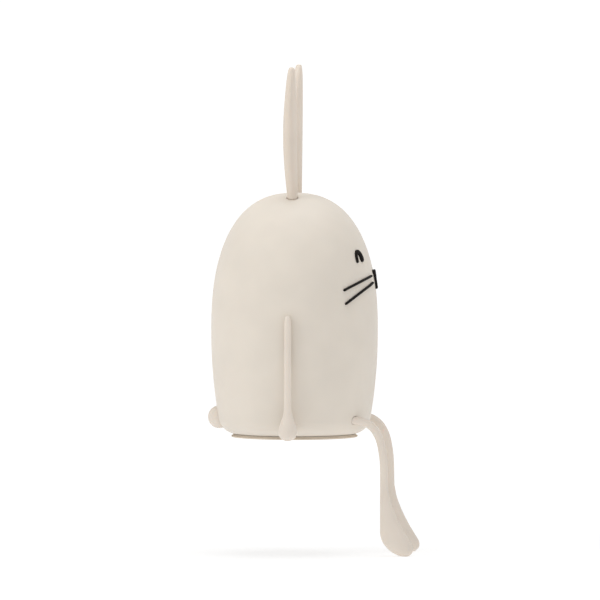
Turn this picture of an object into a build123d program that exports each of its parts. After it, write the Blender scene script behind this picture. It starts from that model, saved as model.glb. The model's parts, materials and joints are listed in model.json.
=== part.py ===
from build123d import *
import math
import os

# A wind-up musical rabbit that sits on the edge of a shelf: an egg-shaped shell with limbs on pins, and a
# small clockwork movement inside. Millimetres. The origin is at the centre of the base ring's underside.
# +X is the way the rabbit faces, +Y is its left and +Z is up. The legs hang below the base plane.

# ---------------------------------------------------------------- body shell
BODY_R = 45.85           # radius at the waist
WAIST_Z = 58.0           # height of the waist
BODY_H = 134.2           # height of the crown
CROWN_POWER = 2.42       # exponent of the superellipse from the waist to the crown
FLANK_R = 281.0          # radius of the flank below the waist, in side view
HEM_R = 10.0             # radius that rounds the flank into the underside
HEM_Z = 1.6              # height of the underside of the shell
WALL = 2.5               # shell wall
MOUTH_R = 33.3           # opening in the underside of the shell

# ---------------------------------------------------------------- base
RING_R = 34.7
RING_INNER_R = 32.2
RING_LIP_H = 0.75        # the foot of the ring; above it the ring steps back
RING_STEP = 0.8
PLATE_R = 33.1
PLATE_T = 2.5
SCREW_CIRCLE_R = 29.5
SCREW_ANGLES = (90, 215, 310)
BOSS_R = 3.0
BOSS_TOP = 16.0
WELL_R = 15.0            # key well, inside
WELL_WALL = 1.6
WELL_TOP = 16.0          # height of the well's ceiling

# ---------------------------------------------------------------- limbs
EAR_Y = 14.5             # ear stem from the middle plane, at the crown
EAR_TILT = 7.7           # outward lean of each ear, degrees
EAR_L = 74.0
EAR_FOOT_W = 6.0
EAR_FRONT_X = 2.85       # the ear's front face, ahead of its stem
EAR_SWELL = 9.5          # how much wider than its foot the ear gets
EAR_FOOT_Z = 131.75      # height of the ear's lower end
EAR_SEAT_R = 3.6         # spot face in the crown under the ear
EAR_SEAT_GAP = 0.25
EAR_STEM_R = 2.0
EAR_STEM_L = 9.5
SHOULDER_Z = 66.2
SHOULDER_X = 0.3
ARM_Y = 48.7             # arm centre line from the middle plane
ARM_TOP_Z = 68.8
ARM_R = 2.0
HAND_Z = 5.5             # height of the widest part of the hand
HAND_R = 5.2
HAND_FOOT_Z = 0.2
ARM_SHAFT_Z = (17.2, 58.0)    # the arm is straight between these heights
HAND_NECK = (3.5, 11.6)       # the hand's outline above its widest part: radius, height
HAND_CHIN = (3.6, 1.4)        # and below it
ARM_PIN_R = 1.4
ARM_PIN_END = 39.3       # inner end of the pin, from the middle plane
LEG_Y = 22.7
LEG_R = 2.15
HIP_Z = 10.3
HIP_HOLE_GAP = 0.3       # between the leg and the hole in the shell
HIP_PEG_END = 27.3
HIP_CLIP_X = 27.9
HIP_COLLAR_X = 28.9
HIP_COLLAR_R = 4.2
CLIP_T = 0.7             # thickness of the clips on pegs and pins
CLIP_GROOVE = 0.6        # depth of a peg's clip groove
KNEE_START_X = 36.0      # where the leg starts to bend down
LEG_BEND = ((45.2, 5.9), (49.3, -2.5), (50.9, -13.0), (51.15, -28.0))    # the leg's centre line, (x, z)
# Sections of the foot from the ankle down: back x, back z, front x, front z, half width.
FOOT_SECTIONS = (
    (48.98, -27.5, 53.38, -27.5, 2.2),
    (48.90, -31.5, 54.20, -31.5, 2.35),
    (48.90, -34.8, 54.90, -34.7, 2.6),
    (48.90, -41.5, 58.00, -42.6, 3.3),
    (48.90, -47.5, 61.40, -49.2, 4.0),
    (49.00, -52.3, 64.60, -54.6, 4.5),
    (50.20, -56.3, 66.80, -58.2, 4.7),
    (52.60, -59.6, 67.30, -60.6, 4.4),
    (55.80, -62.2, 66.60, -62.6, 3.6),
    (59.40, -64.2, 64.80, -64.4, 2.0),
)
TAIL_X = -41.5
TAIL_Z = 10.7
TAIL_R = 6.3
TAIL_PEG_R = 2.0
RUNNING_GAP = 0.05       # radial clearance of a turning fit

# ---------------------------------------------------------------- face
FACE_PROUD = 1.2         # how far the face pieces stand off the shell
EYE_BEARING = 26.3       # the eye's middle, degrees from straight ahead
# The eye's arch from its back foot to its front foot: across towards the nose, height, width of the line.
EYE_ARCH = (
    (-2.75, 97.5, 1.7),
    (-2.75, 99.3, 1.8),
    (-2.1, 101.2, 2.1),
    (-0.6, 102.3, 2.4),
    (0.9, 101.7, 2.8),
    (2.2, 100.2, 3.2),
    (2.6, 98.5, 3.4),
)
NOSE_Z = 86.7
NOSE_W = 8.4
NOSE_H = 10.7
NOSE_STROKE = 1.7
WHISKER_BEARING = 30.0
WHISKER_STROKE = 1.35
UPPER_WHISKER = ((-14.2, 82.0), (-3.3, 85.6), (3.9, 87.35), (14.1, 89.0))
LOWER_WHISKER = ((-13.8, 74.5), (-2.7, 80.0), (4.7, 82.6), (15.2, 85.3))

# ---------------------------------------------------------------- movement
MODULE = 0.5
PRESSURE_ANGLE = math.radians(25)
ADDENDUM = 0.8 * MODULE
DEDENDUM = 1.1 * MODULE
TOOTH_THINNING = 0.07    # taken off each tooth at the pitch circle, for backlash
GREAT_TEETH = 56
CYLINDER_PINION_TEETH = 16
CYLINDER_WHEEL_TEETH = 40
MIDDLE_PINION_TEETH = 10
MIDDLE_WHEEL_TEETH = 36
FLY_PINION_TEETH = 9
RATCHET_TEETH = 12


def pitch_radius(teeth):
    return MODULE * teeth / 2


def step_from(point, distance, angle):
    """The point at a distance from another, in a direction given in degrees from +X."""
    return (
        point[0] + distance * math.cos(math.radians(angle)),
        point[1] + distance * math.sin(math.radians(angle)),
    )


WINDING_AXIS = (0.0, -6.0)
CYLINDER_BEARING = 90.0
MIDDLE_BEARING = -20.0
FLY_BEARING = -40.0
CYLINDER_AXIS = step_from(
    WINDING_AXIS, pitch_radius(GREAT_TEETH + CYLINDER_PINION_TEETH), CYLINDER_BEARING
)
MIDDLE_AXIS = step_from(
    CYLINDER_AXIS, pitch_radius(CYLINDER_WHEEL_TEETH + MIDDLE_PINION_TEETH), MIDDLE_BEARING
)
FLY_AXIS = step_from(
    MIDDLE_AXIS, pitch_radius(MIDDLE_WHEEL_TEETH + FLY_PINION_TEETH), FLY_BEARING
)
PILLARS = ((-15.0, -18.0), (20.0, -14.0), (16.0, 21.0), (-12.0, 21.5))
POSTS = ((-19.0, -4.0), (21.0, -5.0), (2.0, 21.5))
BOTTOM_PLATE_Z = 22.0
BOTTOM_PLATE_T = 1.5
TOP_PLATE_Z = 49.0
TOP_PLATE_T = 1.5
PILLAR_R = 2.0
GREAT_Z = 24.5           # great wheel and cylinder pinion
GREAT_T = 1.8
BARREL_R = 10.0
BARREL_WALL = 0.8
BARREL_Z = GREAT_Z + GREAT_T
BARREL_H = 11.0
CAP_T = 0.8
ARBOR_R = 2.0
DRUM_R = 7.0
DRUM_Z = 27.5
DRUM_H = 15.5
PIN_R = 0.2
PIN_STANDS = 0.6
WHEEL_T = 1.2
CYLINDER_WHEEL_Z = 44.0
MIDDLE_WHEEL_Z = 46.8
FLY_PINION_Z = 46.5
SMALL_ARBOR_R = 1.0
PIVOT_R = 0.7
RATCHET_Z = TOP_PLATE_Z + TOP_PLATE_T + 0.6
RATCHET_T = 1.8
RATCHET_R = 6.5
RATCHET_ROOT_R = 5.3
CLICK_PIVOT = (-10.6, -6.0)
CLICK_SCREW_R = 0.9
CLICK_NOSE_BEARING = 205.5
SPRING_SCREW = (-15.5, -12.0)
SPRING_END = (-8.4, -9.42)
SPRING_T = 0.35
PLATE_SCREW_R = 0.7
MOVEMENT_SCREW_R = 0.8
COMB_TEETH = 14
COMB_GAP = 0.2           # from the pins' path to the tips of the comb
COMB_L = 12.5
COMB_T = 0.9
COMB_SLOT = 0.22
COMB_SCREW_IN = 2.4
COMB_SCREW_Z = (31.0, 39.5)
COMB_SCREWS = ((-18.0, 7.9),)
SOUND_HOLES = 7
KEY_W = 22.0
KEY_TOP = 13.5
KEY_FOOT = 1.8


# ================================================================ shapes used more than once
def crown_point(angle, inset):
    """A point of the crown's outline, moved inwards by inset along its normal."""
    rise = BODY_H - WAIST_Z
    x = max(math.cos(angle), 0.0) ** (2 / CROWN_POWER)
    z = max(math.sin(angle), 0.0) ** (2 / CROWN_POWER)
    normal = Vector(x ** (CROWN_POWER - 1) / BODY_R, z ** (CROWN_POWER - 1) / rise).normalized()
    return (BODY_R * x - inset * normal.X, WAIST_Z + rise * z - inset * normal.Y)


def hem_centre_x():
    return BODY_R - FLANK_R + math.sqrt((FLANK_R - HEM_R) ** 2 - (WAIST_Z - HEM_Z - HEM_R) ** 2)


def body_outline(inset):
    """Half of the body's outline, on the XZ plane, as a closed face beside the axis."""
    hem_x = hem_centre_x()
    hem_z = HEM_Z + HEM_R
    hem_end = math.degrees(math.atan2(hem_z - WAIST_Z, hem_x - BODY_R + FLANK_R))
    radius = HEM_R - inset
    with BuildSketch(Plane.XZ) as sketch:
        with BuildLine():
            start = (hem_x, HEM_Z + inset)
            Line((0, HEM_Z + inset), start)
            CenterArc((hem_x, hem_z), radius, -90, 90 + hem_end)
            CenterArc((BODY_R - FLANK_R, WAIST_Z), FLANK_R - inset, hem_end, -hem_end)
            crown = [crown_point(math.radians(a), inset) for a in (0, 7, 18, 32, 46, 60, 73, 83, 90)]
            Spline(*crown, tangents=[(0, 1), (-1, 0)])
            Line(crown[-1], (0, HEM_Z + inset))
        make_face()
    return sketch.sketch


def body_solid(inset):
    return revolve(body_outline(inset), Axis.Z)


def rod(x, y, z, radius, height):
    """A vertical cylinder that stands on height z."""
    return Pos(x, y, z + height / 2) * Cylinder(radius, height)


def tube(x, y, z, radius, bore, height):
    return rod(x, y, z, radius, height) - rod(x, y, z - 1, bore, height + 2)


def lying_rod(axis, start, end, across, z, radius):
    """A level cylinder along X or Y, from start to end on that axis."""
    middle = (start + end) / 2
    if axis == "X":
        return Pos(middle, across, z) * Rot(0, 90, 0) * Cylinder(radius, abs(end - start))
    return Pos(across, middle, z) * Rot(90, 0, 0) * Cylinder(radius, abs(end - start))


def slab_around(points, radius, z, thickness):
    """A plate whose outline wraps circles of one radius at the points."""
    circles = [Pos(x, y) * Circle(radius) for x, y in points]
    outline = make_hull(Sketch(children=circles).edges())
    return Pos(0, 0, z) * extrude(outline, thickness)


def cheese_screw(x, y, head_z, head_r, head_h, shank_r, shank_l):
    """A slotted screw with its head above head_z and its shank below."""
    slot = Pos(x, y, head_z + head_h) * Box(3 * head_r, 0.3 * head_r, 0.8 * head_h)
    return rod(x, y, head_z, head_r, head_h) + rod(x, y, head_z - shank_l, shank_r, shank_l) - slot


def involute(angle):
    return math.tan(angle) - angle


def spur_gear(teeth, thickness, bore, mesh_angle, tooth_on_mesh):
    """A flat involute gear. At mesh_angle, in degrees, it has a tooth if tooth_on_mesh, or else a gap."""
    pitch = pitch_radius(teeth)
    base = pitch * math.cos(PRESSURE_ANGLE)
    tip = pitch + ADDENDUM
    root = pitch - DEDENDUM
    half_tooth = math.pi / (2 * teeth) - TOOTH_THINNING / (2 * pitch)
    start = math.radians(mesh_angle) + (0 if tooth_on_mesh else math.pi / teeth)
    flank = []
    for step in range(4):
        radius = max(base, root) + (tip - max(base, root)) * step / 3
        swing = involute(math.acos(min(base / radius, 1))) - involute(PRESSURE_ANGLE)
        flank.append((radius, half_tooth - swing))
    outline = []
    for tooth in range(teeth):
        centre = start + 2 * math.pi * tooth / teeth
        side = [(root, flank[0][1])] + flank if base > root else flank
        both = [(r, -a) for r, a in side] + [(r, a) for r, a in reversed(side)]
        outline += [(r * math.cos(centre + a), r * math.sin(centre + a)) for r, a in both]
    return extrude(make_face(Polyline(*outline, close=True)), thickness) - rod(0, 0, -1, bore, thickness + 2)


def crossed(wheel, thickness, rim_r, hub_r, spokes):
    """Cuts round windows between the hub and the rim of a wheel."""
    hole_r = (rim_r - hub_r) / 2
    for spoke in range(spokes):
        x, y = step_from((0, 0), (rim_r + hub_r) / 2, 360 * spoke / spokes)
        wheel -= rod(x, y, -1, hole_r, thickness + 2)
    return wheel


def at_axis(axis, z, shape):
    return Pos(axis[0], axis[1], z) * shape


def facing_plane(angle):
    """An upright plane on the body's axis whose normal points out at a bearing. Heights are kept."""
    out = Vector(math.cos(math.radians(angle)), math.sin(math.radians(angle)), 0)
    sideways = Vector(-out.Y, out.X, 0)
    return Plane(origin=Vector(0, 0, 0), x_dir=sideways, z_dir=out)


def raised(sketch, angle):
    """A shape drawn on a facing plane, laid on the shell as a skin of even thickness."""
    block = extrude(facing_plane(angle) * sketch, BODY_R + 10)
    return block & (body_solid(-FACE_PROUD) - body_solid(0))


def stroke(points, width):
    """A line of even width with round ends, through a few points."""
    line = Sketch() + [Pos(x, y) * Circle(width / 2) for x, y in points]
    for (x1, y1), (x2, y2) in zip(points, points[1:]):
        length = math.hypot(x2 - x1, y2 - y1)
        angle = math.degrees(math.atan2(y2 - y1, x2 - x1))
        line += Pos((x1 + x2) / 2, (y1 + y2) / 2) * Rot(0, 0, angle) * Rectangle(length, width)
    return line


# ================================================================ shell and base
def ear_frame(side):
    """The place of an ear's foot, with Z along the ear. side is 1 for the left and -1 for the right."""
    return Pos(0, side * EAR_Y, EAR_FOOT_Z) * Rot(-side * EAR_TILT, 0, 0)


def screw_boss(angle, inside):
    """A boss for a base screw, joined to the flank by a web."""
    x, y = step_from((0, 0), SCREW_CIRCLE_R, angle)
    foot = HEM_Z + PLATE_T + 0.1
    height = BOSS_TOP - foot
    web = Pos(x, y, foot + height / 2) * Rot(0, 0, angle) * Pos(7, 0, 0) * Box(14, 2, height)
    return ((rod(x, y, foot, BOSS_R, height) + web) & inside) - rod(x, y, foot - 1, 1.0, 9)


def make_body_shell():
    shell = body_solid(0) - body_solid(WALL)
    shell -= rod(0, 0, -1, MOUTH_R, HEM_Z + WALL + 1.5)
    inside = body_solid(WALL / 2)
    for angle in SCREW_ANGLES:
        shell += screw_boss(angle, inside)
    for side in (1, -1):
        shell -= lying_rod("X", 25, 45, side * LEG_Y, HIP_Z, LEG_R + HIP_HOLE_GAP)
        shell -= lying_rod("Y", side * 38, side * 48, SHOULDER_X, SHOULDER_Z, ARM_PIN_R + RUNNING_GAP)
        shell -= ear_frame(side) * rod(0, 0, -12, EAR_STEM_R + RUNNING_GAP, 14)
        shell -= ear_frame(side) * rod(0, 0, -EAR_SEAT_GAP, EAR_SEAT_R, 5)
    return shell - lying_rod("X", TAIL_X - 6, TAIL_X + 8, 0, TAIL_Z, TAIL_PEG_R)


def make_base_plate():
    plate = rod(0, 0, HEM_Z, PLATE_R, PLATE_T)
    x, y = WINDING_AXIS
    plate += rod(x, y, HEM_Z, WELL_R + WELL_WALL, WELL_TOP + WELL_WALL - HEM_Z)
    for post_x, post_y in POSTS:
        plate += rod(post_x, post_y, HEM_Z + PLATE_T / 2, 3.0, BOTTOM_PLATE_Z - HEM_Z - PLATE_T / 2)
        plate -= rod(post_x, post_y, BOTTOM_PLATE_Z - 7, MOVEMENT_SCREW_R, 8)
    plate -= rod(x, y, HEM_Z - 1, WELL_R, WELL_TOP - HEM_Z + 1)
    plate -= rod(x, y, WELL_TOP - 1, ARBOR_R + 0.3, WELL_WALL + 2)
    for angle in SCREW_ANGLES:
        screw_x, screw_y = step_from((0, 0), SCREW_CIRCLE_R, angle)
        plate -= rod(screw_x, screw_y, HEM_Z - 1, 1.3, PLATE_T + 2)
        plate -= rod(screw_x, screw_y, HEM_Z - 1, 2.4, 2.3)
    for hole in range(SOUND_HOLES):
        hole_x, hole_y = step_from((0, 0), 26.0, 54 + 72 * hole / (SOUND_HOLES - 1))
        plate -= rod(hole_x, hole_y - 5.0, HEM_Z - 1, 1.1, PLATE_T + 2)
    return plate


def make_foot_ring():
    ring = tube(0, 0, 0, RING_R, RING_INNER_R, HEM_Z)
    ring -= tube(0, 0, RING_LIP_H, RING_R + 1, RING_R - RING_STEP, HEM_Z)
    outer_foot = ring.edges().filter_by(GeomType.CIRCLE).group_by(Axis.Z)[0].sort_by(SortBy.RADIUS)[-1]
    return fillet(outer_foot, 0.3)


def make_base_screws():
    screws = []
    for angle in SCREW_ANGLES:
        x, y = step_from((0, 0), SCREW_CIRCLE_R, angle)
        screw = rod(x, y, HEM_Z + 0.1, 2.1, 1.2) + rod(x, y, HEM_Z + 1, 1.0, 8)
        screws.append(screw - Pos(x, y, HEM_Z) * Box(6, 0.6, 1.2))
    return screws


# ================================================================ ears
def make_ear(side):
    """A leaf with elliptical sections: nearly straight in front, swelling behind, with a rounded tip."""
    sections = []
    for along in (0, 0.15, 0.35, 0.55, 0.75, 0.88, 0.95, 0.985):
        full_width = EAR_FOOT_W + EAR_SWELL * math.sin(0.86 * math.pi * along)
        half_width = full_width / 2 * math.sqrt(1 - along**8)
        full_depth = 2.8 - 0.8 * along + 1.35 * math.sin(math.pi * along)
        middle = EAR_FRONT_X - 0.4 * along**4 - full_depth
        half_depth = full_depth * math.sqrt(1 - along**30)
        sections.append(Pos(middle, 0, EAR_L * along) * Ellipse(half_depth, half_width))
    stem = rod(0, 0, -EAR_STEM_L, EAR_STEM_R, EAR_STEM_L + 1)
    groove = tube(0, 0, -8.6, EAR_STEM_R + 1, EAR_STEM_R - 0.5, 0.9)
    return ear_frame(side) * (loft(sections) + stem - groove)


def make_ear_clip(side):
    return ear_frame(side) * tube(0, 0, -8.5, 3.6, EAR_STEM_R - 0.5, 0.7)


def make_ear_grommets():
    inside = body_solid(WALL)
    grommet = tube(0, 0, -7.4, 4.0, EAR_STEM_R + RUNNING_GAP, 8)
    return [(ear_frame(side) * grommet) & inside for side in (1, -1)]


# ================================================================ arms
def make_arm(side):
    """A round bar that hangs from a pin and ends in a teardrop hand."""
    shaft_foot, shaft_top = ARM_SHAFT_Z
    with BuildSketch(Plane.XZ) as half:
        with BuildLine():
            Spline((0, ARM_TOP_Z), (1.5, ARM_TOP_Z - 1.3), (ARM_R, shaft_top), tangents=[(1, 0), (0, -1)])
            Line((ARM_R, shaft_top), (ARM_R, shaft_foot))
            Spline((ARM_R, shaft_foot), HAND_NECK, (HAND_R, HAND_Z), tangents=[(0, -1), (0, -1)])
            Spline((HAND_R, HAND_Z), HAND_CHIN, (0, HAND_FOOT_Z), tangents=[(0, -1), (-1, 0)])
            Line((0, HAND_FOOT_Z), (0, ARM_TOP_Z))
        make_face()
    bar = Pos(SHOULDER_X, side * ARM_Y, 0) * revolve(half.sketch, Axis.Z)
    pin = lying_rod("Y", side * ARM_PIN_END, side * ARM_Y, SHOULDER_X, SHOULDER_Z, ARM_PIN_R)
    return bar + pin - arm_ring(side, 39.9, 0.9, ARM_PIN_R + 1, ARM_PIN_R - 0.4)


def arm_ring(side, inner_end, width, radius, bore):
    """A ring around the shoulder pin."""
    ends = (side * inner_end, side * (inner_end + width))
    ring = lying_rod("Y", *ends, SHOULDER_X, SHOULDER_Z, radius)
    return ring - lying_rod("Y", *ends, SHOULDER_X, SHOULDER_Z, bore)


def make_arm_clip(side):
    return arm_ring(side, 40.0, 0.7, 3.0, ARM_PIN_R - 0.4)


def make_shoulder_bushes():
    inside = body_solid(WALL)
    return [arm_ring(side, 41.0, 3.0, 3.6, ARM_PIN_R + RUNNING_GAP) & inside for side in (1, -1)]


# ================================================================ legs
def foot_section(back_x, back_z, front_x, front_z, half_width):
    """An ellipse across the foot of a leg that lies on Y = 0."""
    along = Vector(front_x - back_x, 0, front_z - back_z)
    middle = Vector((back_x + front_x) / 2, 0, (back_z + front_z) / 2)
    place = Plane(origin=middle, x_dir=along, z_dir=Vector(along.Z, 0, -along.X))
    return place * Ellipse(along.length / 2, half_width)


def make_leg(side):
    """A peg in the hip, a bend down to an upright shin, and a foot that points down and ahead."""
    with BuildLine(Plane.XZ) as path:
        Line((HIP_PEG_END, HIP_Z), (KNEE_START_X, HIP_Z))
        Spline((KNEE_START_X, HIP_Z), *LEG_BEND, tangents=[(1, 0), (0, -1)])
    bar = sweep(Plane(origin=(HIP_PEG_END, 0, HIP_Z), z_dir=(1, 0, 0)) * Circle(LEG_R), path.line)
    foot = loft([foot_section(*row) for row in FOOT_SECTIONS])
    groove = lying_tube(HIP_CLIP_X - 0.05, CLIP_T + 0.1, LEG_R + 1, LEG_R - CLIP_GROOVE)
    return Pos(0, side * LEG_Y, 0) * (bar + foot - groove)


def lying_tube(start, length, radius, bore):
    """A ring around the hip peg of a leg whose peg lies on Y = 0."""
    ring = lying_rod("X", start, start + length, 0, HIP_Z, radius)
    return ring - lying_rod("X", start, start + length, 0, HIP_Z, bore)


def make_leg_clip(side):
    return Pos(0, side * LEG_Y, 0) * lying_tube(HIP_CLIP_X, CLIP_T, 3.5, LEG_R - CLIP_GROOVE)


def make_hip_bushes():
    """Collars that carry the hip pegs, behind the shell's wall."""
    collar = lying_tube(HIP_COLLAR_X, 6.0, HIP_COLLAR_R, LEG_R + RUNNING_GAP)
    return [(Pos(0, side * LEG_Y, 0) * collar) & body_solid(WALL) for side in (1, -1)]


# ================================================================ tail and face
def make_tail():
    ball = Pos(TAIL_X, 0, TAIL_Z) * Sphere(TAIL_R) - body_solid(0)
    return ball + lying_rod("X", TAIL_X - 1, TAIL_X + 6.5, 0, TAIL_Z, TAIL_PEG_R)


def make_nose():
    """A round-cornered triangle that runs down into a short line."""
    corner = NOSE_STROKE
    top = NOSE_Z + NOSE_H / 2 - corner / 2
    foot = NOSE_Z - NOSE_H / 2 + corner / 2
    wide = NOSE_W / 2 - corner / 2
    middle = top - 4.2
    corners = [Pos(x, z) * Circle(corner / 2) for x, z in ((-wide, top), (wide, top), (0, middle))]
    pad = make_hull(Sketch(children=corners).edges())
    return raised(pad + stroke(((0, middle), (0, foot)), corner), 0)


def make_eye(side):
    """An arch with round ends, whose line grows wider towards the nose."""
    dots = [Pos(-side * x, z) * Circle(width / 2) for x, z, width in EYE_ARCH]
    arch = Sketch()
    for pair in zip(dots, dots[1:]):
        arch += make_hull(Sketch(children=pair).edges())
    return raised(arch, side * EYE_BEARING)


def make_whiskers(side):
    strokes = []
    for points in (UPPER_WHISKER, LOWER_WHISKER):
        placed = [(-side * x, z) for x, z in points]
        strokes.append(raised(stroke(placed, WHISKER_STROKE), side * WHISKER_BEARING))
    return strokes


# ================================================================ movement: frame
def make_bottom_plate():
    plate = slab_around(PILLARS + POSTS, 3.8, BOTTOM_PLATE_Z, BOTTOM_PLATE_T)
    for x, y in POSTS:
        plate -= rod(x, y, BOTTOM_PLATE_Z - 1, MOVEMENT_SCREW_R + 0.1, 4)
    for x, y in PILLARS:
        plate -= rod(x, y, BOTTOM_PLATE_Z - 1, PLATE_SCREW_R, 4)
    plate -= rod(*WINDING_AXIS, BOTTOM_PLATE_Z - 1, ARBOR_R + RUNNING_GAP, 4)
    for axis in (CYLINDER_AXIS, MIDDLE_AXIS, FLY_AXIS):
        plate -= rod(*axis, BOTTOM_PLATE_Z - 1, PIVOT_R + RUNNING_GAP, 4)
    for x, y in COMB_SCREWS:
        plate -= rod(x, y, BOTTOM_PLATE_Z - 1, PLATE_SCREW_R, 4)
    return plate


def make_top_plate():
    plate = slab_around(PILLARS, 3.8, TOP_PLATE_Z, TOP_PLATE_T)
    for x, y in PILLARS:
        plate -= rod(x, y, TOP_PLATE_Z - 1, PLATE_SCREW_R, 4)
    plate -= rod(*WINDING_AXIS, TOP_PLATE_Z - 1, ARBOR_R + RUNNING_GAP, 4)
    for axis in (CYLINDER_AXIS, MIDDLE_AXIS, FLY_AXIS):
        plate -= rod(*axis, TOP_PLATE_Z - 1, PIVOT_R + RUNNING_GAP, 4)
    for x, y in (CLICK_PIVOT, SPRING_SCREW):
        plate -= rod(x, y, TOP_PLATE_Z - 1, CLICK_SCREW_R, 4)
    return plate


def make_pillars():
    foot = BOTTOM_PLATE_Z + BOTTOM_PLATE_T
    pillars = []
    for x, y in PILLARS:
        pillar = rod(x, y, foot, PILLAR_R, TOP_PLATE_Z - foot)
        pillar -= rod(x, y, foot, PLATE_SCREW_R, 4)
        pillars.append(pillar - rod(x, y, TOP_PLATE_Z - 4, PLATE_SCREW_R, 4))
    return pillars


def make_plate_screws():
    top = TOP_PLATE_Z + TOP_PLATE_T
    screws = [cheese_screw(x, y, top, 1.7, 1.0, PLATE_SCREW_R, 4.5) for x, y in PILLARS]
    for x, y in PILLARS:
        under = Rot(180, 0, 0) * cheese_screw(x, -y, -BOTTOM_PLATE_Z, 1.7, 1.0, PLATE_SCREW_R, 4.5)
        screws.append(under)
    return screws


def make_movement_screws():
    top = BOTTOM_PLATE_Z + BOTTOM_PLATE_T
    return [cheese_screw(x, y, top, 1.8, 0.8, MOVEMENT_SCREW_R, 7) for x, y in POSTS]


# ================================================================ movement: winding
def make_winding_key():
    """A butterfly key in the well: a round boss with two bowed wings, each with an eye."""
    half = KEY_W / 2
    height = KEY_TOP - KEY_FOOT
    wing = Pos(half / 2 + 0.5, 0) * RectangleRounded(half - 1, height, 2.8)
    eye = Pos(half / 2 + 2, 0) * Circle(2.0)
    wings = Sketch() + wing + mirror(wing, Plane.YZ) - eye - mirror(eye, Plane.YZ)
    blade = extrude(Plane.XZ * wings, 0.7, both=True)
    key = Pos(0, 0, (KEY_TOP + KEY_FOOT) / 2) * blade + rod(0, 0, KEY_FOOT + 1, 3.0, KEY_TOP - KEY_FOOT - 1)
    return at_axis(WINDING_AXIS, 0, key - rod(0, 0, KEY_FOOT + 3, ARBOR_R, 20))


def make_winding_arbor():
    foot = KEY_FOOT + 3
    arbor = rod(0, 0, foot, ARBOR_R, RATCHET_Z + RATCHET_T + 1.2 - foot)
    hook = Pos(ARBOR_R + 0.1, 0, BARREL_Z + BARREL_H / 2) * Box(0.8, 0.8, 2)
    return at_axis(WINDING_AXIS, 0, arbor + hook)


def make_ratchet_wheel():
    """Saw teeth: each has a steep side towards the click's nose and a long slope behind."""
    pitch = 360 / RATCHET_TEETH
    outline = []
    for tooth in range(RATCHET_TEETH):
        outline.append(step_from((0, 0), RATCHET_ROOT_R, CLICK_NOSE_BEARING + 5.0 + tooth * pitch))
        outline.append(step_from((0, 0), RATCHET_R, CLICK_NOSE_BEARING + 8.0 + tooth * pitch))
    disc = extrude(make_face(Polyline(*outline, close=True)), RATCHET_T)
    return at_axis(WINDING_AXIS, RATCHET_Z, disc - rod(0, 0, -1, ARBOR_R, RATCHET_T + 2))


def make_ratchet_collar():
    return at_axis(WINDING_AXIS, RATCHET_Z + RATCHET_T, tube(0, 0, 0, 3.4, ARBOR_R, 1.0))


def make_click():
    """A pawl on a pivot screw, with its nose in the root behind a tooth of the ratchet wheel."""
    nose = step_from(WINDING_AXIS, RATCHET_ROOT_R + 0.6, CLICK_NOSE_BEARING)
    beak = step_from(WINDING_AXIS, RATCHET_R + 1.0, CLICK_NOSE_BEARING - 3.5)
    arm = make_hull(Sketch(children=[Pos(*CLICK_PIVOT) * Circle(2.2), Pos(*beak) * Circle(0.7)]).edges())
    tip = make_hull(Sketch(children=[Pos(*beak) * Circle(0.6), Pos(*nose) * Circle(0.2)]).edges())
    click = Pos(0, 0, RATCHET_Z) * extrude(arm + tip, RATCHET_T)
    return click - rod(*CLICK_PIVOT, RATCHET_Z - 1, CLICK_SCREW_R + RUNNING_GAP, 5)


def make_click_screw():
    stem = RATCHET_Z + RATCHET_T + 0.15
    return cheese_screw(*CLICK_PIVOT, stem, 1.9, 0.9, CLICK_SCREW_R, stem - TOP_PLATE_Z - 0.2)


def make_click_spring():
    """A thin leaf that leans on the click's back, fixed under its own screw."""
    foot = Pos(*SPRING_SCREW) * Circle(2.0)
    leaf = stroke((SPRING_SCREW, SPRING_END), 0.5)
    spring = extrude(Sketch() + foot + leaf, 1.2) - rod(*SPRING_SCREW, -1, CLICK_SCREW_R, 5)
    return Pos(0, 0, TOP_PLATE_Z + TOP_PLATE_T) * spring


def make_click_spring_screw():
    top = TOP_PLATE_Z + TOP_PLATE_T + 1.2
    return cheese_screw(*SPRING_SCREW, top, 1.9, 0.9, CLICK_SCREW_R, top - TOP_PLATE_Z - 0.2)


# ================================================================ movement: train
def make_great_wheel():
    wheel = spur_gear(GREAT_TEETH, GREAT_T, ARBOR_R + RUNNING_GAP, CYLINDER_BEARING, True)
    return at_axis(WINDING_AXIS, GREAT_Z, wheel)


def make_barrel():
    drum = tube(0, 0, 0, BARREL_R, ARBOR_R + RUNNING_GAP, BARREL_H)
    drum -= rod(0, 0, BARREL_WALL, BARREL_R - BARREL_WALL, BARREL_H)
    return at_axis(WINDING_AXIS, BARREL_Z, drum)


def make_barrel_cap():
    return at_axis(WINDING_AXIS, BARREL_Z + BARREL_H, tube(0, 0, 0, BARREL_R, ARBOR_R + RUNNING_GAP, CAP_T))


def make_mainspring():
    """A spiral strip from near the arbor out to the barrel's wall."""
    inner = ARBOR_R + 1.0
    outer = BARREL_R - BARREL_WALL - 0.35
    turns = 5
    outside = []
    inside = []
    for step in range(turns * 12 + 1):
        angle = 360 * step / 12
        radius = inner + (outer - inner) * step / (turns * 12)
        outside.append(step_from((0, 0), radius + SPRING_T / 2, angle))
        inside.append(step_from((0, 0), radius - SPRING_T / 2, angle))
    strip = make_face(Polyline(*outside, *reversed(inside), close=True))
    return at_axis(WINDING_AXIS, BARREL_Z + BARREL_WALL + 0.6, extrude(strip, BARREL_H - BARREL_WALL - 1.2))


def arbor_with_pivots(axis, radius):
    foot = BOTTOM_PLATE_Z + BOTTOM_PLATE_T + 0.2
    top = TOP_PLATE_Z - 0.2
    pivot = rod(*axis, BOTTOM_PLATE_Z, PIVOT_R, TOP_PLATE_Z + TOP_PLATE_T - BOTTOM_PLATE_Z)
    return pivot + rod(*axis, foot, radius, top - foot)


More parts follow.
